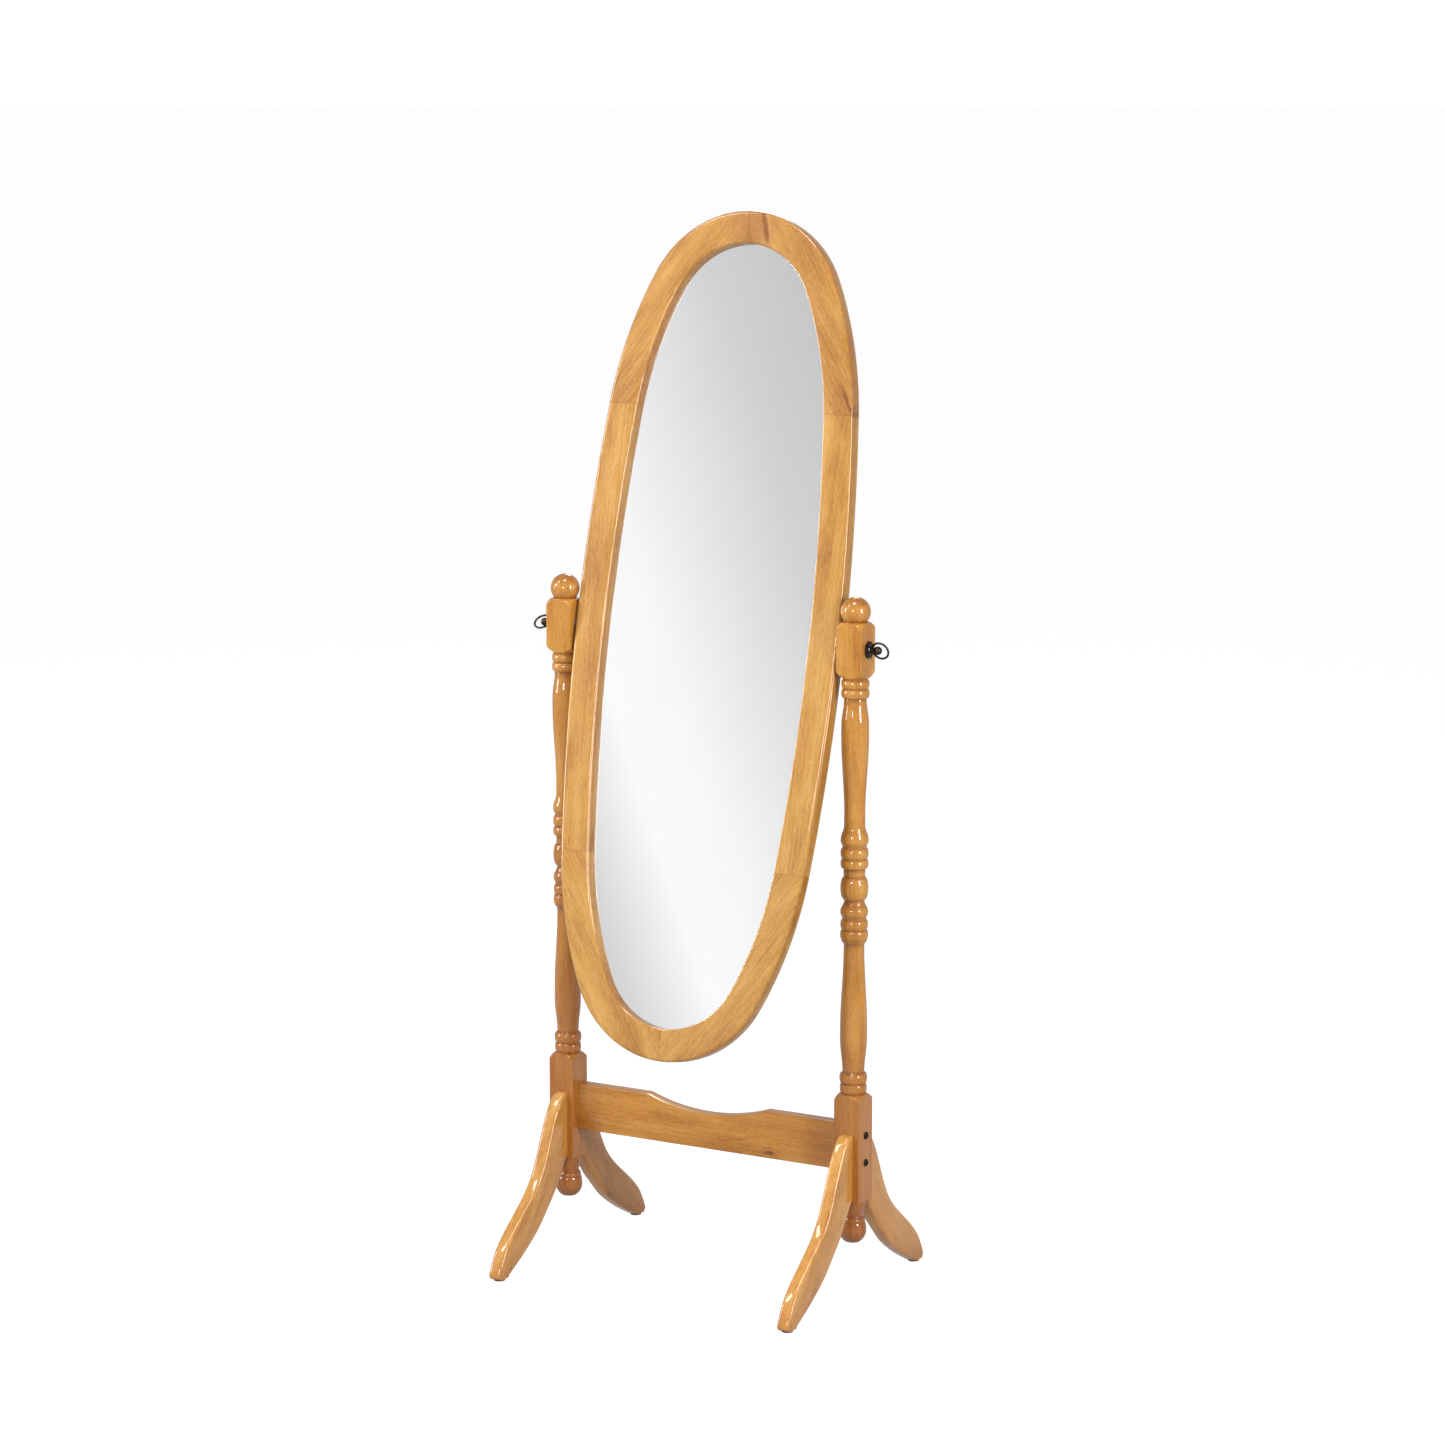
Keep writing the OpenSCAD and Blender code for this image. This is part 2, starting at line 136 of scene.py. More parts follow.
def rings_to_faces(rings):
    """Verts and faces of a skin over rings of points, each ring closed, with a cap at both ends."""
    n = len(rings[0])
    verts = [p for ring in rings for p in ring]
    faces = []
    for i in range(len(rings) - 1):
        for j in range(n):
            a, b = i * n + j, i * n + (j + 1) % n
            faces.append((a, b, b + n, a + n))
    faces.append(tuple(range(n)))
    faces.append(tuple(range(len(verts) - n, len(verts))))
    return verts, faces


def bead(z0, z1, rb, rm, n=14):
    """Profile of a round bead: radius rb at its ends and rm in the middle."""
    return [(rb + (rm - rb) * math.sin(math.pi * i / n), lerp(z0, z1, half_cos(i / n)))
            for i in range(n + 1)]


def taper(z0, r0, z1, r1, n=12):
    """Profile of a long curve from radius r0 to r1, level at both ends."""
    return [(lerp(r0, r1, half_cos(i / n)), lerp(z0, z1, i / n)) for i in range(n + 1)]


CORNER = BLOCK * math.sqrt(2) + 0.4  # beyond a block's corners, where the profile cuts nothing
STEP = 0.45                          # height between the rings of a shoulder


def shoulder(points):
    """A run of straight cuts split finely, so that the flats of a block end in clean curves."""
    out = []
    for (r0, z0), (r1, z1) in zip(points, points[1:]):
        n = max(1, math.ceil(abs(z1 - z0) / STEP))
        out += [(lerp(r0, r1, i / n), lerp(z0, z1, i / n)) for i in range(n)]
    return out + [points[-1]]


# Up a post, as (radius, height). Where the profile is wider than a block, the block's flats show.
turning = (
    [(0.01, LOW[0]), (CORNER, LOW[0]), (CORNER, LOW[1] - 9)]
    + shoulder([(CORNER, LOW[1] - 9), (25, LOW[1] - 4.6), (21.8, LOW[1] - 2), (18, LOW[1])])
    + bead(294, 307.5, 17, BEAD - 0.5) + bead(308.3, 322.5, 17, BEAD)
    + taper(324, 15.5, 372, BEAD - 0.4) + taper(386, BEAD - 0.5, 503, WAIST, 20)
    + taper(506, WAIST + 0.3, 511.5, 18, 6) + bead(513, 525.7, 18, BEAD)
    + bead(527, 541, 17, BEAD - 0.2) + taper(542.5, 17, 551, BEAD, 8)
    + taper(553.5, BEAD - 0.2, 566.5, WAIST) + [(WAIST, 568.6)] + bead(569.6, 601, WAIST + 0.5, BEAD, 20)
    + taper(603, WAIST + 0.6, 612, WAIST + 0.8, 3) + bead(613.4, 626.3, 17, BEAD)
    + bead(627.4, 642, 17, BEAD) + taper(643.5, 17, 652, BEAD, 8)
    + taper(655, BEAD - 0.2, 673, WAIST + 0.3)
    + taper(690, WAIST + 0.2, 800, BEAD - 0.2, 20) + taper(815, BEAD - 0.3, 849, 15.7)
    + [(15.4, 851)] + bead(852.2, 864.8, 17, BEAD) + bead(865.8, 877.6, 17, BEAD)
    + shoulder([(17.4, UP[0]), (21.5, UP[0] + 3), (25.5, UP[0] + 6.6), (CORNER, UP[0] + 11.5)])
    + shoulder([(CORNER, UP[1] - 11.5), (25.5, UP[1] - 6.6), (21.5, UP[1] - 3), (15.5, UP[1] - 0.4)])
    + [(BALL * math.cos(a), BALL_TOP - BALL + BALL * math.sin(a))
       for a in [math.radians(lerp(-50, 89.6, i / 30)) for i in range(31)]]
)

FULL_GROOVE = 3.2                    # a groove this deep takes all the painted shade and stain


def depth_in(profile):
    """How far below its neighbours the profile lies at a height, from 0 to 1: where painted shade and
    gathered stain darken a groove.
    """
    def at(z):
        for (r0, z0), (r1, z1) in zip(profile, profile[1:]):
            if z0 <= z <= z1 and z1 > z0:
                return lerp(r0, r1, (z - z0) / (z1 - z0))
        return profile[-1][0]

    table = {}

    def deep(z):
        key = round(z, 1)
        if key not in table:
            near = max(at(key - 4), at(key - 2), at(key + 2), at(key + 4))
            table[key] = clamped((min(near, BEAD) - at(key)) / FULL_GROOVE)
        return table[key]

    return deep


def square_radius(a, half, round_r):
    """Distance from the centre to a square with rounded corners, in direction a."""
    c, s = abs(math.cos(a)), abs(math.sin(a))
    big, small = max(c, s), min(c, s)
    flat = half / big
    if flat * small <= half - round_r:
        return flat
    m = half - round_r                 # the corner's own centre is (m, m)
    b = m * (big + small)
    return b + math.sqrt(max(0.0, b * b - 2 * m * m + round_r * round_r))


# directions round a post: every 5 degrees, and closer at the corners of its blocks
near_corner = {round(corner + sign * d, 3)
               for corner in (45, 135, 225, 315) for sign in (-1, 1) for d in (1.1, 2.2, 3.2, 7.5)}
post_angles = [math.radians(a) for a in sorted(near_corner | {round(5.0 * i, 3) for i in range(72)})]
ROUND_N = 96                         # directions round a piece without blocks


def lathe(profile, square=False):
    """Verts and faces of a turned piece; with square, its widest parts are left as square blocks."""
    around = post_angles if square else [math.tau * i / ROUND_N for i in range(ROUND_N)]
    rings = []
    for r, z in profile:
        ring = []
        for a in around:
            k = min(r, square_radius(a, BLOCK, ARRIS_R)) if square and r > BLOCK - 0.1 else r
            ring.append((k * math.cos(a), k * math.sin(a), z))
        rings.append(ring)
    return rings_to_faces(rings)


def spline(points, n):
    """A smooth curve through the points, n steps to each stretch."""
    out = []
    for i in range(len(points) - 1):
        a, b = points[max(i - 1, 0)], points[i]
        c, d = points[i + 1], points[min(i + 2, len(points) - 1)]
        for k in range(n):
            t = k / n
            out.append(tuple(0.5 * (2 * b[j] + (c[j] - a[j]) * t
                                    + (2 * a[j] - 5 * b[j] + 4 * c[j] - d[j]) * t * t
                                    + (3 * b[j] - a[j] - 3 * c[j] + d[j]) * t ** 3) for j in (0, 1)))
    return out + [tuple(points[-1])]


EASE_STEPS = 5


def board(outline, half, ease, keep, across):
    """A flat board with eased edges: an outline (p, q), rounded by ease where it meets both faces.
    keep(p, q) puts a point that must not leave a mating face back on it; across makes the 3-D point."""
    n = len(outline)
    normals = []
    for i in range(n):
        (x0, y0), (x1, y1) = outline[i - 1], outline[(i + 1) % n]
        if keep(*outline[i - 1]) and keep(*outline[i]):
            x0, y0 = outline[i]
        if keep(*outline[(i + 1) % n]) and keep(*outline[i]):
            x1, y1 = outline[i]
        d = math.hypot(x1 - x0, y1 - y0) or 1.0
        normals.append((-(y1 - y0) / d, (x1 - x0) / d))
    area = sum(outline[i - 1][0] * outline[i][1] - outline[i][0] * outline[i - 1][1] for i in range(n))
    side = 1 if area > 0 else -1
    rings = []
    cuts = [(half - ease + ease * math.sin(a), ease - ease * math.cos(a))
            for a in [math.pi / 2 * i / EASE_STEPS for i in range(EASE_STEPS + 1)]]
    for s, order in ((-1, cuts[::-1]), (1, cuts)):
        for depth, inset in order:
            ring = []
            for (p, q), (nx, ny) in zip(outline, normals):
                a, b = p + nx * inset * side, q + ny * inset * side
                fixed = keep(p, q)
                if fixed:
                    a = fixed[0] if fixed[0] is not None else a
                    b = fixed[1] if fixed[1] is not None else b
                ring.append(across(s * depth, a, b))
            rings.append(ring)
    return rings_to_faces(rings)


# ------------------------------------------------------------------ materials
def node(nt, kind, props=None, **ins):
    """A node, with its properties, and its inputs set or linked by name (or by number, as i0, i1)."""
    n = nt.nodes.new("ShaderNode" + kind)
    for k, v in (props or {}).items():
        setattr(n, k, v)
    for k, v in ins.items():
        numbered = k[0] == "i" and k[1:].isdigit()
        sock = n.inputs[int(k[1:])] if numbered else n.inputs[k.replace("_", " ")]
        if isinstance(v, bpy.types.NodeSocket):
            nt.links.new(v, sock)
        else:
            sock.default_value = v
    return n


def maths(nt, op, a, b, clamp=False):
    return node(nt, "Math", {"operation": op, "use_clamp": clamp}, i0=a, i1=b).outputs[0]


def scaled(nt, vector, by):
    return node(nt, "VectorMath", {"operation": "MULTIPLY"}, i0=vector, i1=by).outputs[0]


def noise(nt, vector, by, detail=2.0, rough=0.5, out="Fac"):
    """Noise; by says how many features there are to a metre along X, Y and Z."""
    space = scaled(nt, vector, by)
    return node(nt, "TexNoise", None, Vector=space, Scale=1.0, Detail=detail, Roughness=rough).outputs[out]


def ramp(nt, fac, stops):
    """A colour from a factor: stops are (position, colour)."""
    r = nt.nodes.new("ShaderNodeValToRGB")
    nt.links.new(fac, r.inputs[0])
    elements = r.color_ramp.elements
    while len(elements) < len(stops):
        elements.new(0.5)
    for element, (position, colour) in zip(elements, stops):
        element.position = position
        element.color = (*colour, 1)
    return r.outputs[0]


def grey(v):
    return (v, v, v)


def tint(nt, a, b, fac, mode="MULTIPLY"):
    """Colour a changed by b to the degree fac: multiplied by it, or mixed with it."""
    m = nt.nodes.new("ShaderNodeMix")
    m.data_type, m.blend_type = "RGBA", mode
    for sock, v in ((m.inputs[0], fac), (m.inputs[6], a), (m.inputs[7], b)):
        if isinstance(v, bpy.types.NodeSocket):
            nt.links.new(v, sock)
        else:
            sock.default_value = v if isinstance(v, float) else (*v, 1)
    return m.outputs[2]


def new_material(name):
    m = bpy.data.materials.new(name)
    m.use_nodes = True
    nt = m.node_tree
    nt.nodes.clear()
    out = nt.nodes.new("ShaderNodeOutputMaterial")
    bsdf = nt.nodes.new("ShaderNodeBsdfPrincipled")
    nt.links.new(bsdf.outputs[0], out.inputs[0])
    return m, nt, bsdf


DRIFT = 0.012                        # how far the edge of a mark wanders, in metres


def stain_and_shade_spots(nt, marks):
    """Mask of the dark marks in a front face, stains and painted shade, in millimetres and degrees:
    each is (x, z, lean, half length, half width, strength)."""
    p = node(nt, "TexCoord").outputs["Object"]
    drift = noise(nt, p, (55, 55, 55), 2.0, 0.5, "Color")
    drifted = node(nt, "VectorMath", {"operation": "MULTIPLY_ADD"}, i0=drift, i1=(DRIFT, 0, DRIFT), i2=p)
    total = None
    for x, z, lean, half_length, half_width, strength in marks:
        c, s = math.cos(math.radians(lean)), math.sin(math.radians(lean))
        middle = (x * MM + DRIFT / 2, 0, z * MM + DRIFT / 2)
        at = node(nt, "VectorMath", {"operation": "SUBTRACT"}, i0=drifted.outputs[0], i1=middle).outputs[0]
        far = None
        for axis, size in (((c, 0, s), half_length), ((-s, 0, c), half_width)):
            per_size = tuple(v / (size * MM) for v in axis)
            d = node(nt, "VectorMath", {"operation": "DOT_PRODUCT"}, i0=at, i1=per_size).outputs["Value"]
            d = maths(nt, "MULTIPLY", d, d)
            far = d if far is None else maths(nt, "ADD", far, d)
        spot = ramp(nt, far, [(0.0, grey(strength)), (0.25, grey(strength * 0.8)), (1.0, grey(0))])
        total = spot if total is None else maths(nt, "ADD", total, spot, clamp=True)
    return total


BEND = 0.022                         # how far the fibres stray from straight, in metres


def bent_fibres(nt, grain):
    """The space along the fibres, bent so that none of them runs quite straight."""
    wander = noise(nt, grain, (9, 9, 1.6), 2.0, 0.5, "Color")
    bent = node(nt, "VectorMath", {"operation": "MULTIPLY_ADD"}, i0=wander, i1=(BEND, BEND, 0), i2=grain)
    return bent.outputs[0]


def growth_rings(nt, grain, bent, strength):
    """Light and dark rings about the tree's heart, stronger in some places than in others."""
    ring = node(nt, "TexWave", {"wave_type": "RINGS", "rings_direction": "Z", "wave_profile": "SIN"},
                Vector=bent, Scale=46.0, Distortion=0.9, Detail=2.0, i4=0.35).outputs["Fac"]
    ring = ramp(nt, ring, [(0.0, grey(0.60)), (0.55, grey(0.52)), (0.85, grey(0.40)), (1.0, grey(0.28))])
    fade = maths(nt, "MULTIPLY", noise(nt, grain, (22, 22, 2.2)), strength * 0.9)
    return maths(nt, "MULTIPLY", maths(nt, "SUBTRACT", ring, 0.5), fade)


def figure(nt, grain, bent, streak, rings):
    """How light the wood is, from 0 to 1: rings, streaks, fine lines, flecks and broad clouds."""
    value = growth_rings(nt, grain, bent, rings)
    fine = noise(nt, bent, (1100, 1100, 26), 2.0, 0.6)
    fleck = noise(nt, bent, (620, 620, 120), 2.0, 0.62)
    cloud = noise(nt, grain, (38, 38, 8), 2.0, 0.55)
    for part, weight in ((streak, 0.36), (fine, 0.24), (fleck, 0.62), (cloud, 0.935)):
        value = maths(nt, "ADD", value, maths(nt, "MULTIPLY", maths(nt, "SUBTRACT", part, 0.5), weight))
    return maths(nt, "ADD", value, 0.5, clamp=True)


def open_pores(nt, grain, bent):
    """Mask of the short dark pores, which crowd in some places and are few in others."""
    pore = ramp(nt, noise(nt, bent, (1500, 1500, 60), 1.0, 0.5), [(0.60, grey(0)), (0.70, grey(1))])
    density = ramp(nt, noise(nt, grain, (60, 60, 6), 1.0), [(0.40, grey(0.15)), (0.62, grey(1))])
    return maths(nt, "MULTIPLY", pore, density)


def warm_patches(nt, grain):
    """Mask of broad warmer patches."""
    hue = noise(nt, grain, (6.5, 6.5, 1.1), 1.0)
    return maths(nt, "MULTIPLY", maths(nt, "SUBTRACT", hue, 0.42), 1.3, clamp=True)


# what the wood's colour is multiplied by in its warm patches, pores, marks (stains, and painted shade),
# grooves, edges and joints (painted shade and stain), and darker parts (its own tone, and painted shade)
AMBER, PORE_STAIN, MARK_STAIN_AND_SHADE = (0.97, 0.86, 0.66), (0.60, 0.43, 0.28), (0.48, 0.30, 0.20)
SHADE_AND_STAIN_TINT, DARK_TONE_AND_SHADE = (0.50, 0.34, 0.22), (0.62, 0.36, 0.20)
GRAIN_DEPTH = 0.00022                # relief of the wood's surface, in metres


def wood(name, dark, mid, light, rings, pores, marks=()):
    """Stained, lacquered wood. It reads the piece's own fibres, its tone (with painted shade on the rear
    legs), and the painted shade and stain of its grooves, edges and joints, which make() stores.
    """
    m, nt, bsdf = new_material(name)
    grain = node(nt, "Attribute", {"attribute_name": "grain"}).outputs["Vector"]
    tone_and_shade = node(nt, "Attribute", {"attribute_name": "tone_and_shade"}).outputs["Fac"]
    shade_and_stain = node(nt, "Attribute", {"attribute_name": "shade_and_stain"}).outputs["Fac"]
    bent = bent_fibres(nt, grain)
    streak = noise(nt, bent, (300, 300, 9), 3.0, 0.62)
    pore = open_pores(nt, grain, bent)

    value = figure(nt, grain, bent, streak, rings)
    colour = ramp(nt, value, [(0.12, dark), (0.5, mid), (0.86, light)])
    colour = tint(nt, colour, AMBER, warm_patches(nt, grain))
    colour = tint(nt, colour, PORE_STAIN, maths(nt, "MULTIPLY", pore, pores))
    # dark marks: stains, and painted shade at the stretcher's ends
    if marks:
        colour = tint(nt, colour, MARK_STAIN_AND_SHADE, stain_and_shade_spots(nt, marks))
    # painted shade in the grooves, on the frame's edges and at the stretcher's ends, and stain in the
    # grooves and at the frame's hairlines
    colour = tint(nt, colour, SHADE_AND_STAIN_TINT, maths(nt, "MULTIPLY", shade_and_stain, 0.62, clamp=True))
    # darker where the tone is low: the wood's own tone, and painted shade on the rear legs
    darker_tone_and_shade = maths(nt, "MULTIPLY", maths(nt, "SUBTRACT", 1.0, tone_and_shade), 1.6, clamp=True)
    colour = tint(nt, colour, DARK_TONE_AND_SHADE, darker_tone_and_shade)
    nt.links.new(colour, bsdf.inputs["Base Color"])
    roughness = maths(nt, "ADD", 0.30, maths(nt, "MULTIPLY", streak, 0.14))
    nt.links.new(roughness, bsdf.inputs["Roughness"])

    height = maths(nt, "SUBTRACT", maths(nt, "MULTIPLY", streak, 0.35), pore)
    height = maths(nt, "ADD", height, maths(nt, "MULTIPLY", noise(nt, grain, (70, 70, 22), 1.0), 1.6))
    for sock, strength in (("Normal", 0.22), ("Coat Normal", 0.03)):
        bump = node(nt, "Bump", None, Strength=strength, Distance=GRAIN_DEPTH, Height=height)
        nt.links.new(bump.outputs[0], bsdf.inputs[sock])
    bsdf.inputs["Specular IOR Level"].default_value = 0.22
    bsdf.inputs["Coat Weight"].default_value = 0.9
    bsdf.inputs["Coat Roughness"].default_value = 0.035
    bsdf.inputs["Coat IOR"].default_value = 1.52
    return m


MOTTLE_DEPTH = 0.0001                # relief of a plain finish, in metres


def plain(name, low, high, size, rough, metal=0.0, bump=0.1):
    """A plain finish: colour and roughness vary between two values in a mottle of this size in metres."""
    m, nt, bsdf = new_material(name)
    p = node(nt, "TexCoord").outputs["Object"]
    a = noise(nt, p, (1 / size,) * 3, 3.0, 0.6)
    b = noise(nt, p, (5.3 / size,) * 3, 2.0, 0.6)
    mix = maths(nt, "ADD", maths(nt, "MULTIPLY", a, 0.65), maths(nt, "MULTIPLY", b, 0.35))
    nt.links.new(ramp(nt, mix, [(0.32, low), (0.68, high)]), bsdf.inputs["Base Color"])
    roughness = maths(nt, "ADD", rough[0], maths(nt, "MULTIPLY", mix, rough[1] - rough[0]))
    nt.links.new(roughness, bsdf.inputs["Roughness"])
    n = node(nt, "Bump", None, Strength=bump, Distance=MOTTLE_DEPTH, Height=mix)
    nt.links.new(n.outputs[0], bsdf.inputs["Normal"])
    bsdf.inputs["Metallic"].default_value = metal
    return m


def hardboard(name):
    """Pressed brown fibre board: loose fibres, dark specks and the fine screen marks of its rough side."""
    m, nt, bsdf = new_material(name)
    p = node(nt, "TexCoord").outputs["Object"]
    fibre = noise(nt, p, (900, 200, 260), 3.0, 0.7)
    cloud = noise(nt, p, (14, 14, 9), 2.0)
    fleck = ramp(nt, noise(nt, p, (520, 520, 700), 1.0), [(0.66, grey(0)), (0.74, grey(1))])
    value = maths(nt, "ADD", maths(nt, "MULTIPLY", fibre, 0.65), maths(nt, "MULTIPLY", cloud, 0.35))
    colour = ramp(nt, value, [(0.3, (0.115, 0.062, 0.032)), (0.52, (0.20, 0.115, 0.062)),
                              (0.75, (0.30, 0.185, 0.105))])
    colour = tint(nt, colour, (0.35, 0.28, 0.22), maths(nt, "MULTIPLY", fleck, 0.6))
    nt.links.new(colour, bsdf.inputs["Base Color"])
    wires = [node(nt, "TexWave", {"wave_type": "BANDS", "bands_direction": direction},
                  Vector=p, Scale=140.0, Distortion=0.6, Detail=1.0) for direction in ("X", "Z")]
    screen = maths(nt, "MULTIPLY", wires[0].outputs["Fac"], wires[1].outputs["Fac"])
    height = maths(nt, "ADD", maths(nt, "MULTIPLY", screen, 0.7), maths(nt, "MULTIPLY", fibre, 0.8))
    bump = node(nt, "Bump", None, Strength=0.35, Distance=0.0003, Height=height)
    nt.links.new(bump.outputs[0], bsdf.inputs["Normal"])
    nt.links.new(maths(nt, "ADD", 0.62, maths(nt, "MULTIPLY", fibre, 0.25)), bsdf.inputs["Roughness"])
    return m


def silvered(name):
    """Mirror glass: silver behind clear glass, with faint cleaning marks in its gloss."""
    m, nt, bsdf = new_material(name)
    p = node(nt, "TexCoord").outputs["Object"]
    haze = noise(nt, p, (9, 9, 5), 3.0, 0.6)
    silver = ramp(nt, haze, [(0.3, (0.865, 0.875, 0.870)), (0.7, (0.885, 0.89, 0.887))])
    nt.links.new(silver, bsdf.inputs["Base Color"])
    nt.links.new(maths(nt, "ADD", 0.004, maths(nt, "MULTIPLY", haze, 0.010)), bsdf.inputs["Roughness"])
    bsdf.inputs["Metallic"].default_value = 1.0
    bsdf.inputs["Coat Weight"].default_value = 1.0
    bsdf.inputs["Coat Roughness"].default_value = 0.0
    return m


frame_marks = [(28, 1484, -70, 36, 5, 0.75), (6, 1484, -80, 46, 46, 0.50),       # by the top joint
               (186, 1250, -62, 34, 3.5, 0.65), (180, 1244, -75, 50, 20, 0.35),  # by the right upper joint
               (-186, 1262, 65, 22, 2.5, 0.4)]                                   # by the left upper joint
rail_marks = [(104, 189, 8, 8, 3.6, 1.0), (104, 189, 6, 28, 9, 0.4),             # a knot and its halo
              (-196, 214, 86, 60, 26, 0.25), (186, 214, 86, 60, 34, 0.30),       # the ends: painted shade by the posts
              (60, 205, 12, 60, 3, 0.3), (-60, 200, 3, 70, 2.5, 0.28)]           # long faint streaks

# each wood: its dark, middle and light stain, then the strength of its rings and of its pores
frame_wood = wood("frame_wood", (0.30, 0.108, 0.012), (0.480, 0.242, 0.047), (0.61, 0.360, 0.108),
                  0.42, 1.0, frame_marks)
post_wood = wood("post_wood", (0.31, 0.102, 0.011), (0.485, 0.212, 0.031), (0.59, 0.305, 0.070),
                 0.36, 0.6)
finial_wood = wood("finial_wood", (0.19, 0.048, 0.005), (0.305, 0.096, 0.012), (0.41, 0.155, 0.028),
                   0.4, 0.5)
leg_wood = wood("leg_wood", (0.32, 0.116, 0.016), (0.545, 0.262, 0.056), (0.67, 0.365, 0.108),
                0.46, 0.6)
rail_wood = wood("rail_wood", (0.28, 0.088, 0.007), (0.480, 0.200, 0.023), (0.61, 0.305, 0.062),
                 0.34, 0.7, rail_marks)

# each plain finish: its two colours, the mottle's size, its two roughnesses, metal or not, and relief
dowel_wood = plain("dowel_wood", (0.52, 0.36, 0.20), (0.66, 0.50, 0.30), 0.002, (0.5, 0.7))
bronze = plain("dark_bronze", (0.022, 0.018, 0.015), (0.085, 0.069, 0.057), 0.003, (0.20, 0.40), 1.0, 0.12)
black_steel = plain("black_bolt", (0.012, 0.012, 0.013), (0.045, 0.045, 0.048), 0.002, (0.28, 0.5), 1.0,
                    0.15)
zinc = plain("zinc_steel", (0.42, 0.42, 0.43), (0.66, 0.66, 0.65), 0.004, (0.25, 0.45), 1.0, 0.1)
brass = plain("insert_brass", (0.50, 0.34, 0.13), (0.72, 0.53, 0.24), 0.002, (0.25, 0.4), 1.0, 0.1)
rubber = plain("pad_rubber", (0.020, 0.018, 0.016), (0.060, 0.055, 0.050), 0.0012, (0.7, 0.95), 0.0, 0.5)
nylon = plain("spacer_nylon", (0.040, 0.034, 0.028), (0.085, 0.072, 0.060), 0.0015, (0.35, 0.55), 0.0, 0.2)
board_back = hardboard("hardboard")
mirror_glass = silvered("mirror")

# ------------------------------------------------------------------ pieces
dice = random.Random(7)
STRAY = 1.6                          # most degrees that a board's fibres lie off its length


def fibres(axis, spread):
    """Turns a piece's space so that axis becomes Z, and moves the heart of the tree outside the piece."""
    turn = Vector(axis).to_track_quat("Z", "Y").to_matrix().to_4x4().inverted()
    tip_x = Matrix.Rotation(math.radians(dice.uniform(-STRAY, STRAY)), 4, "X")
    tip_y = Matrix.Rotation(math.radians(dice.uniform(-STRAY, STRAY)), 4, "Y")
    a = dice.uniform(0, math.tau)
    far = spread * dice.uniform(0.7, 1.3)
    move = Matrix.Translation((far * math.cos(a), far * math.sin(a), dice.uniform(-900, 900)))
    return move @ (tip_x @ tip_y) @ turn


FOOT_Z = 210                         # below this height a post has its darkest tone


def post_tone(foot, even_z):
    """A post's tone: foot at its lower end, and 1 from even_z upwards."""
    return lambda v: lerp(foot, 1.0, half_cos(clamped((v.z - FOOT_Z) / (even_z - FOOT_Z))))


def post_shade_and_stain(v):
    """Painted shade and gathered stain in a post's grooves; its square blocks have none."""
    return deep_post(v.z) if math.hypot(v.x, v.y) < BLOCK - 0.2 else 0.0


post_verts, post_faces = lathe(turning, square=True)
deep_post = depth_in(turning)
for side, s in (("left", -1), ("right", 1)):
    make(side + "_post_turned", post_verts, post_faces, "stand", [side + "_post"], post_wood,
         Matrix.Translation((s * POST_X, 0, 0)), fibres((0, 0, 1), 55),
         post_tone(0.59, 430) if s > 0 else post_tone(0.60, 880), post_shade_and_stain)

DROP_Z = 79                          # lowest point of a post's finial
drop_ball = [(11, DROP_Z), (14.4, 82), (17.4, 86.4), (19.2, 91.2), (19.6, 96), (19.3, 101), (18.4, 105.4),
             (17.6, 107.4), (17.1, 108.2)]
drop_neck = [(17.5, 109.2), (17.5, 111.4), (16.9, 113), (15, 115.4), (14.5, 116.6), (14.7, 118),
             (15.6, 122.5), (17.2, 130), (18.6, 138.6)]
drop = ([(0.01, DROP_Z), (11, DROP_Z)] + spline(drop_ball, 3) + spline(drop_neck, 3)
        + [(18, LOW[0]), (0.01, LOW[0])])
drop_verts, drop_faces = lathe(drop)
deep_drop = depth_in(drop[1:-1])
# the finials' grooves darken with painted shade and gathered stain, as on the posts
for side, s in (("left", -1), ("right", 1)):
    make(side + "_drop_finial_turned", drop_verts, drop_faces, "stand", [side + "_drop_finial"],
         finial_wood, Matrix.Translation((s * POST_X, 0, 0)), fibres((0, 0, 1), 45),
         1.0, lambda v: deep_drop(v.z))

# a rear leg from the side, as (y, z): over the top to the toe, and back along the underside
leg_outer = [(20, 237), (27, 235.4), (33, 231), (39, 224.5), (52, 205), (66, 176), (78.5, 149),
             (93, 124.5), (113, 103), (140, 81.5), (165, 62), (185.2, 42.5), (196.8, 24), (203.2, 9.5),
             (202.3, 5), (199.2, 3)]
leg_under = [(178.2, 3), (158, 13), (131, 28), (97, 51), (70, 77), (47.7, 100.5), (20, 140.5)]
leg_line = [(max(BLOCK, min(y, TOE_Y)), max(z, PAD_T))
            for y, z in spline(leg_outer, 5) + spline(leg_under, 6)]
LEG_WAY = (0, 0.63, -0.78)           # the way the fibres run in a leg
# the rear legs are darker by painted shade; a toe is darker at its end grain
REAR_SHADE, TOE_TONE = 0.80, 0.76
TOE_LOW, TOE_HIGH = 6, 54            # heights between which a leg lightens from its toe's tone to its own


def leg_keep(y, z):
    """Keeps the leg's mating faces flat: the one on the post and the one on the pad."""
    if y <= BLOCK + EPS:
        return BLOCK, None
    return (None, PAD_T) if z <= PAD_T + EPS else None


def leg_tone(own):
    """A leg's own tone, which on the rear legs holds painted shade, darker at the end grain of its toe."""
    return lambda v: own * lerp(TOE_TONE, 1.0, half_cos(clamped((v.z - TOE_LOW) / (TOE_HIGH - TOE_LOW))))


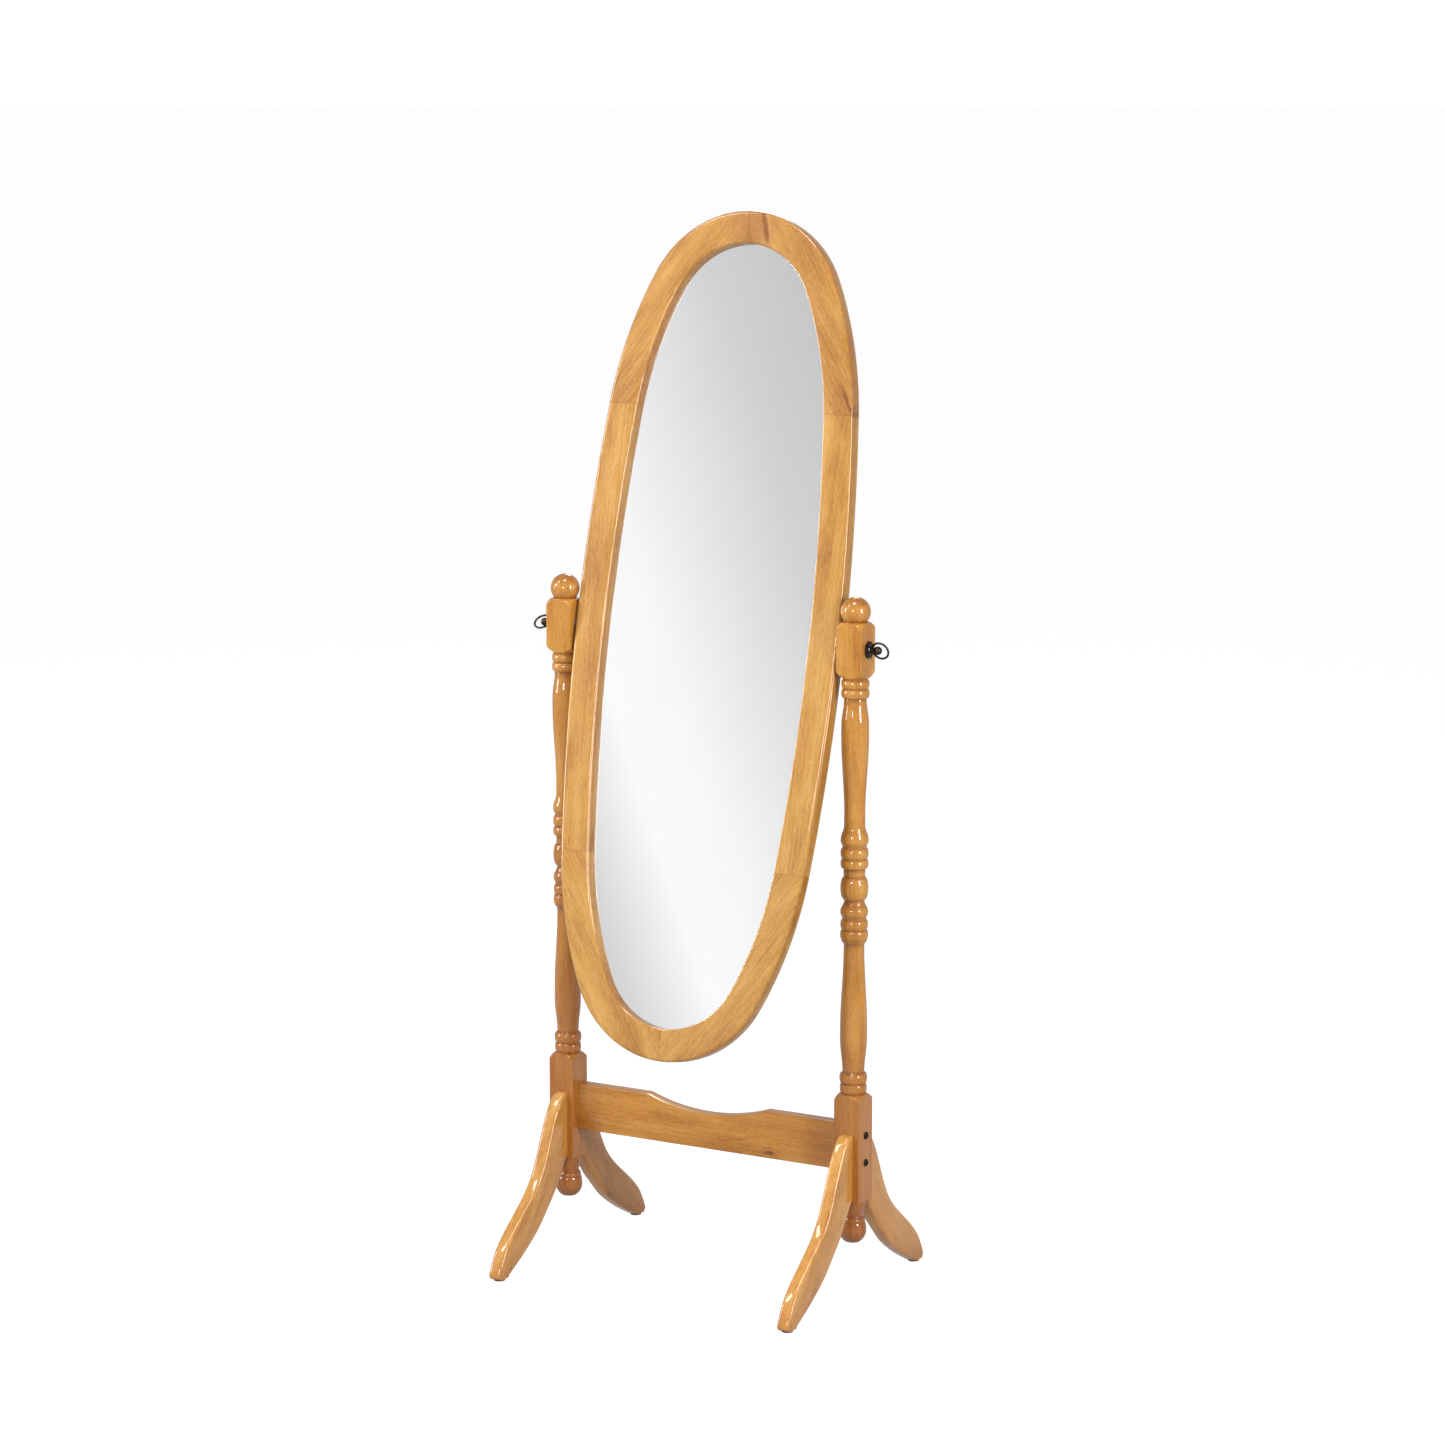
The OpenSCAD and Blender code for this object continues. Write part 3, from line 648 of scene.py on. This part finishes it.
leg_verts, leg_faces = board(leg_line, LEG_HALF, LEG_EASE, leg_keep, lambda d, y, z: (d, y, z))
for fore, sy in (("front", -1), ("rear", 1)):
    for side, s in (("left", -1), ("right", 1)):
        name = f"{fore}_{side}_leg"
        make(name + "_shaped", leg_verts, leg_faces, "stand", [name], leg_wood,
             Matrix.Translation((s * POST_X, 0, 0)) @ Matrix.Scale(sy, 4, (0, 1, 0)), fibres(LEG_WAY, 60),
             leg_tone(dice.uniform(0.96, 1.03) * (REAR_SHADE if fore == "rear" else 1.0)), sharp=50)

# the stretcher from the front: its lower edge, then its upper edge with the hollow, an arc of radius dip_r
dip_r = (DIP_HALF ** 2 + DIP_DEPTH ** 2) / (2 * DIP_DEPTH)
dip_a = math.asin(DIP_HALF / dip_r)
rail_end = POST_X - BLOCK
low_z, top_z = RAIL_Z
rail_line = ([(-rail_end, low_z)] + [(lerp(-rail_end, rail_end, i / 16), low_z) for i in range(1, 16)]
             + [(rail_end, low_z), (rail_end, top_z)]
             + [(lerp(rail_end, DIP_HALF + 1, i / 6), top_z) for i in range(1, 7)]
             + [(dip_r * math.sin(a), top_z - DIP_DEPTH + dip_r * (1 - math.cos(a)))
                for a in [lerp(dip_a, -dip_a, i / 36) for i in range(37)]]
             + [(lerp(-DIP_HALF - 1, -rail_end, i / 6), top_z) for i in range(0, 6)]
             + [(-rail_end, top_z)])
EVEN_X, FADE_X = 150, 160            # painted shade gathers beyond EVEN_X, and would be full FADE_X further out


def rail_keep(x, _z):
    """Keeps the stretcher's ends flat against the posts."""
    return (math.copysign(rail_end, x), None) if abs(x) > rail_end - EPS else None


def rail_end_shade(v):
    """Painted shade that deepens towards the posts."""
    return clamped((abs(v.x) - EVEN_X) / FADE_X)


rail_verts, rail_faces = board(rail_line, RAIL_HALF, RAIL_EASE, rail_keep, lambda d, x, z: (x, d, z))
make("stretcher_shaped", rail_verts, rail_faces, "stand", ["stretcher"], rail_wood, Matrix(),
     fibres((1, 0, 0), 60), 1.0, rail_end_shade, sharp=50)

# A quarter of the frame's outer oval is three arcs that run smoothly into each other: the side about c3,
# the corner about c2 and the end about c1. The side ends at p1 and angle th1, where u1 points outwards,
# and the corner ends at angle th2.
th1 = math.asin(JOINT_V / SIDE_R)
c3 = Vector((OVAL_A - SIDE_R, 0))
p1 = Vector((OVAL_A - SIDE_R * (1 - math.cos(th1)), JOINT_V))
u1 = Vector((math.cos(th1), math.sin(th1)))
c1 = Vector((0, OVAL_B - END_R))
d1 = p1 - c1
corner_r = (d1.dot(d1) - END_R ** 2) / (2 * (d1.dot(u1) - END_R))
c2 = p1 - corner_r * u1
th2 = math.atan2(c1.y - c2.y, c1.x - c2.x)


def fillet(cu, cy, r, a0, a1, n=6):
    """Points of an arc between two angles, in degrees."""
    turns = [math.radians(lerp(a0, a1, i / n)) for i in range(n + 1)]
    return [(cu + r * math.cos(a), cy + r * math.sin(a)) for a in turns]


# the frame's section, as (distance out from its inner edge, height towards the front)
section = ([(0, GLASS_Y), (0, 4.0)] + fillet(LIP_R, FRONT - LIP_R, LIP_R, 180, 90)
           + [(10, FRONT), (BAND / 2, FRONT), (36, FRONT)]
           + fillet(BAND - FRONT_R, FRONT - FRONT_R, FRONT_R, 90, 0) + [(BAND, 0)]
           + fillet(BAND - BACK_R, BACK + BACK_R, BACK_R, 0, -90, 4)
           + [(BAND / 2, BACK), (LIP, BACK), (LIP, GLASS_Y)])


def eased(u, y):
    """A point of the section, drawn in by EASE: the outline at the very end of a piece."""
    return BAND / 2 + (u - BAND / 2) * (1 - EASE / (BAND / 2)), y * (1 - EASE / FRONT)


def side_rings():
    """Up a long side, from its lower joint to its upper one."""
    rings = []
    rows = ([-JOINT_V, -JOINT_V + HAIR] + [lerp(-JOINT_V, JOINT_V, i / 40) for i in range(1, 40)]
            + [JOINT_V - HAIR, JOINT_V])
    for i, v in enumerate(rows):
        ring = []
        for u, y in section:
            if i in (0, len(rows) - 1):
                u, y = eased(u, y)
            rho = SIDE_R - BAND + u
            ring.append((c3.x + math.sqrt(rho * rho - v * v), -y, v))
        rings.append(ring)
    return rings


def corner_rings():
    """From the side joint to the top, along the corner arc and then the end arc."""
    rings = []
    mid = corner_r - BAND / 2
    stops = [0, HAIR / mid / (th2 - th1)] + [i / 26 for i in range(1, 27)]
    for i, t in enumerate(stops):
        ring = []
        for u, y in section:
            if i == 0:
                u, y = eased(u, y)
            rho = corner_r - BAND + u
            start = math.asin((JOINT_V - c2.y) / rho)
            a = lerp(start, th2, t)
            ring.append((c2.x + rho * math.cos(a), -y, c2.y + rho * math.sin(a)))
        rings.append(ring)
    span = math.pi / 2 - th2
    stops = [i / 30 for i in range(1, 30)] + [1 - HAIR / (END_R - BAND / 2) / span, 1.0]
    for i, t in enumerate(stops):
        ring = []
        for u, y in section:
            if i == len(stops) - 1:
                u, y = eased(u, y)
            rho = END_R - BAND + u
            a = lerp(th2, math.pi / 2, t)
            ring.append((c1.x + rho * math.cos(a), -y, c1.y + rho * math.sin(a)))
        rings.append(ring)
    return rings


# darker: stain at the hairlines, and painted shade on the frame's edges, which lie between its faces
LINE, EDGE_Y, HAIRLINE_STAIN_AND_EDGE_SHADE = HAIR * 0.6, 9.0, 0.5


# stain at the hairlines of the joints, painted shade on the edges
def side_hairline_and_shade(v):
    return HAIRLINE_STAIN_AND_EDGE_SHADE if abs(v.z) > JOINT_V - LINE or abs(v.y) < EDGE_Y else 0.0


# stain at the hairlines of the joints, painted shade on the edges
def corner_hairline_and_shade(v):
    return HAIRLINE_STAIN_AND_EDGE_SHADE if v.z < JOINT_V + LINE or v.x < LINE or abs(v.y) < EDGE_Y else 0.0


side_verts, side_faces = rings_to_faces(side_rings())
corner_verts, corner_faces = rings_to_faces(corner_rings())
chord = Vector((-180, 0, 256)).normalized()     # the way the fibres run in a corner piece
corner_tones = {"top_right": 0.82, "top_left": 0.89, "bottom_right": 0.98, "bottom_left": 0.99}
for side, s in (("left", -1), ("right", 1)):
    flip = Matrix.Scale(s, 4, (1, 0, 0))
    make(f"frame_{side}_side_band", side_verts, side_faces, "mirror_frame", [f"frame_{side}_side"],
         frame_wood, tilted @ flip, fibres((0.02, 0, 1), 60), dice.uniform(0.99, 1.04),
         side_hairline_and_shade)
    for end, sz in (("top", 1), ("bottom", -1)):
        corner = f"{end}_{side}"
        make(f"frame_{corner}_band", corner_verts, corner_faces, "mirror_frame", [f"frame_{corner}"],
             frame_wood, tilted @ flip @ Matrix.Scale(sz, 4, (0, 0, 1)), fibres(chord, 60),
             corner_tones[corner], corner_hairline_and_shade)

# the other pieces keep their CAD shapes
finishes = {
    "mirror_glass": mirror_glass, "backing_panel": board_back,
    "leg_dowels": dowel_wood, "frame_dowels": dowel_wood,
    "stretcher_bolts": black_steel, "stretcher_nuts": zinc, "back_clips": zinc, "clip_screws": zinc,
    "left_pivot_insert": brass, "right_pivot_insert": brass,
    "foot_pads": rubber, "left_spacer": nylon, "right_spacer": nylon,
    "left_rosette": bronze, "right_rosette": bronze, "left_knob_screw": bronze,
    "right_knob_screw": bronze, "left_ring": bronze, "right_ring": bronze,
}
for name, material in finishes.items():
    nodes[name].data.materials.clear()
    nodes[name].data.materials.append(material)

# ------------------------------------------------------------------ floor, surroundings and lights
# The camera sees the floor and the surroundings near white. To all other rays they are dimmer, because a
# white room all round would lay a pale veil over the lacquer.
FLOOR_R, FLOOR_N = 60, 48            # radius in metres, and corners of its rim
FLOOR_DIM, FLOOR_WHITE = 0.30, 0.88  # its glow to other rays and to the camera

rim_angles = [math.tau * i / FLOOR_N for i in range(FLOOR_N)]
rim = [(FLOOR_R * math.cos(a), FLOOR_R * math.sin(a), 0) for a in rim_angles]
floor_mesh = bpy.data.meshes.new("studio_floor")
floor_mesh.from_pydata(rim, [], [tuple(range(FLOOR_N))])
floor = bpy.data.objects.new("studio_floor", floor_mesh)
bpy.context.scene.collection.objects.link(floor)
pale, nt, bsdf = new_material("studio_floor")
bsdf.inputs["Base Color"].default_value = (0.25, 0.25, 0.25, 1)
bsdf.inputs["Roughness"].default_value = 0.9
bsdf.inputs["Specular IOR Level"].default_value = 0.0
bsdf.inputs["Emission Color"].default_value = (1, 1, 1, 1)
seen = node(nt, "LightPath").outputs["Is Camera Ray"]
glow = maths(nt, "ADD", FLOOR_DIM, maths(nt, "MULTIPLY", seen, FLOOR_WHITE - FLOOR_DIM))
nt.links.new(glow, bsdf.inputs["Emission Strength"])
floor_mesh.materials.append(pale)

# A soft bright band crosses the part of the surroundings that the glass shows. Directions are azimuth, from
# the front round to the right, and elevation, in degrees.
GLASS_AZ, GLASS_EL = -30.3, 12.0     # the middle of that part
RIDGE_AZ, RIDGE_EL = -31.8, 13.0     # a point on the band's brightest line
BAND_TURN = (0.857, 0.514)           # the way across the band, in azimuth and elevation
BAND_FROM, BAND_WIDTH = 2.2, 6.4     # from that point back to the band's start, and the band's whole width

world = bpy.data.worlds.new("studio")
bpy.context.scene.world = world
world.use_nodes = True
nt = world.node_tree
nt.nodes.clear()
sky = node(nt, "TexCoord").outputs["Generated"]
height = node(nt, "SeparateXYZ", None, i0=sky).outputs[2]
seen = node(nt, "LightPath").outputs["Is Camera Ray"]
backdrop = ramp(nt, height, [(0.04, grey(1.03)), (0.30, grey(0.58)), (1.0, grey(0.36))])
ambient = ramp(nt, height, [(0.04, grey(0.42)), (0.30, grey(0.45)), (1.0, grey(0.36))])
base = tint(nt, ambient, backdrop, seen, "MIX")
az, el = math.radians(GLASS_AZ), math.radians(GLASS_EL)
toward = Vector((math.sin(az) * math.cos(el), -math.cos(az) * math.cos(el), math.sin(el)))
along_az = Vector((math.cos(az), math.sin(az), 0)) / math.cos(el)
along_el = Vector((-math.sin(el) * math.sin(az), math.sin(el) * math.cos(az), math.cos(el)))
across = (BAND_TURN[0] * along_az + BAND_TURN[1] * along_el) * math.degrees(1)
at_ridge = BAND_TURN[0] * (GLASS_AZ - RIDGE_AZ) + BAND_TURN[1] * (GLASS_EL - RIDGE_EL)
dot = node(nt, "VectorMath", {"operation": "DOT_PRODUCT"}, i0=sky, i1=across).outputs["Value"]
place = maths(nt, "ADD", dot, at_ridge - across.dot(toward))
band = ramp(nt, maths(nt, "MULTIPLY", maths(nt, "ADD", place, BAND_FROM), 1 / BAND_WIDTH),
            [(0.0, grey(0.64)), (0.12, grey(0.76)), (0.28, grey(1.08)), (0.42, grey(1.05)),
             (0.76, grey(0.73)), (1.0, grey(0.62))])
near = node(nt, "VectorMath", {"operation": "DOT_PRODUCT"}, i0=sky, i1=toward).outputs["Value"]
mask = ramp(nt, near, [(0.955, grey(0)), (0.978, grey(1))])      # whole to 12 degrees away, and gone at 17
shown = tint(nt, base, band, mask, "MIX")
background = node(nt, "Background", None, Color=shown, Strength=1.0)
nt.links.new(background.outputs[0], node(nt, "OutputWorld").inputs[0])

AIM = Vector((0, 0, 0.75))           # the lights point at the middle of the object


def softbox(name, azimuth, elevation, distance, width, height, power):
    """A rectangular light of this width and height in metres, turned to AIM from a direction in degrees."""
    data = bpy.data.lights.new(name, "AREA")
    data.shape, data.size, data.size_y, data.energy = "RECTANGLE", width, height, power
    a, e = math.radians(azimuth), math.radians(elevation)
    way = Vector((math.sin(a) * math.cos(e), -math.cos(a) * math.cos(e), math.sin(e)))
    lamp = bpy.data.objects.new(name, data)
    lamp.location = AIM + way * distance
    lamp.rotation_euler = (-way).to_track_quat("-Z", "Y").to_euler()
    bpy.context.scene.collection.objects.link(lamp)


# azimuth and elevation, distance, width and height, and power in watts
softbox("key", 76, 13, 3.3, 0.5, 1.5, 72)
softbox("front", 8, 13, 3.6, 0.35, 0.6, 34)
softbox("left", -57, 13, 3.3, 0.42, 1.5, 50)
softbox("top", 12, 72, 3.2, 1.0, 1.0, 40)
softbox("upper_left", -45, 45, 3.3, 0.5, 0.9, 22)
softbox("back", 205, 35, 3.8, 1.0, 1.0, 26)
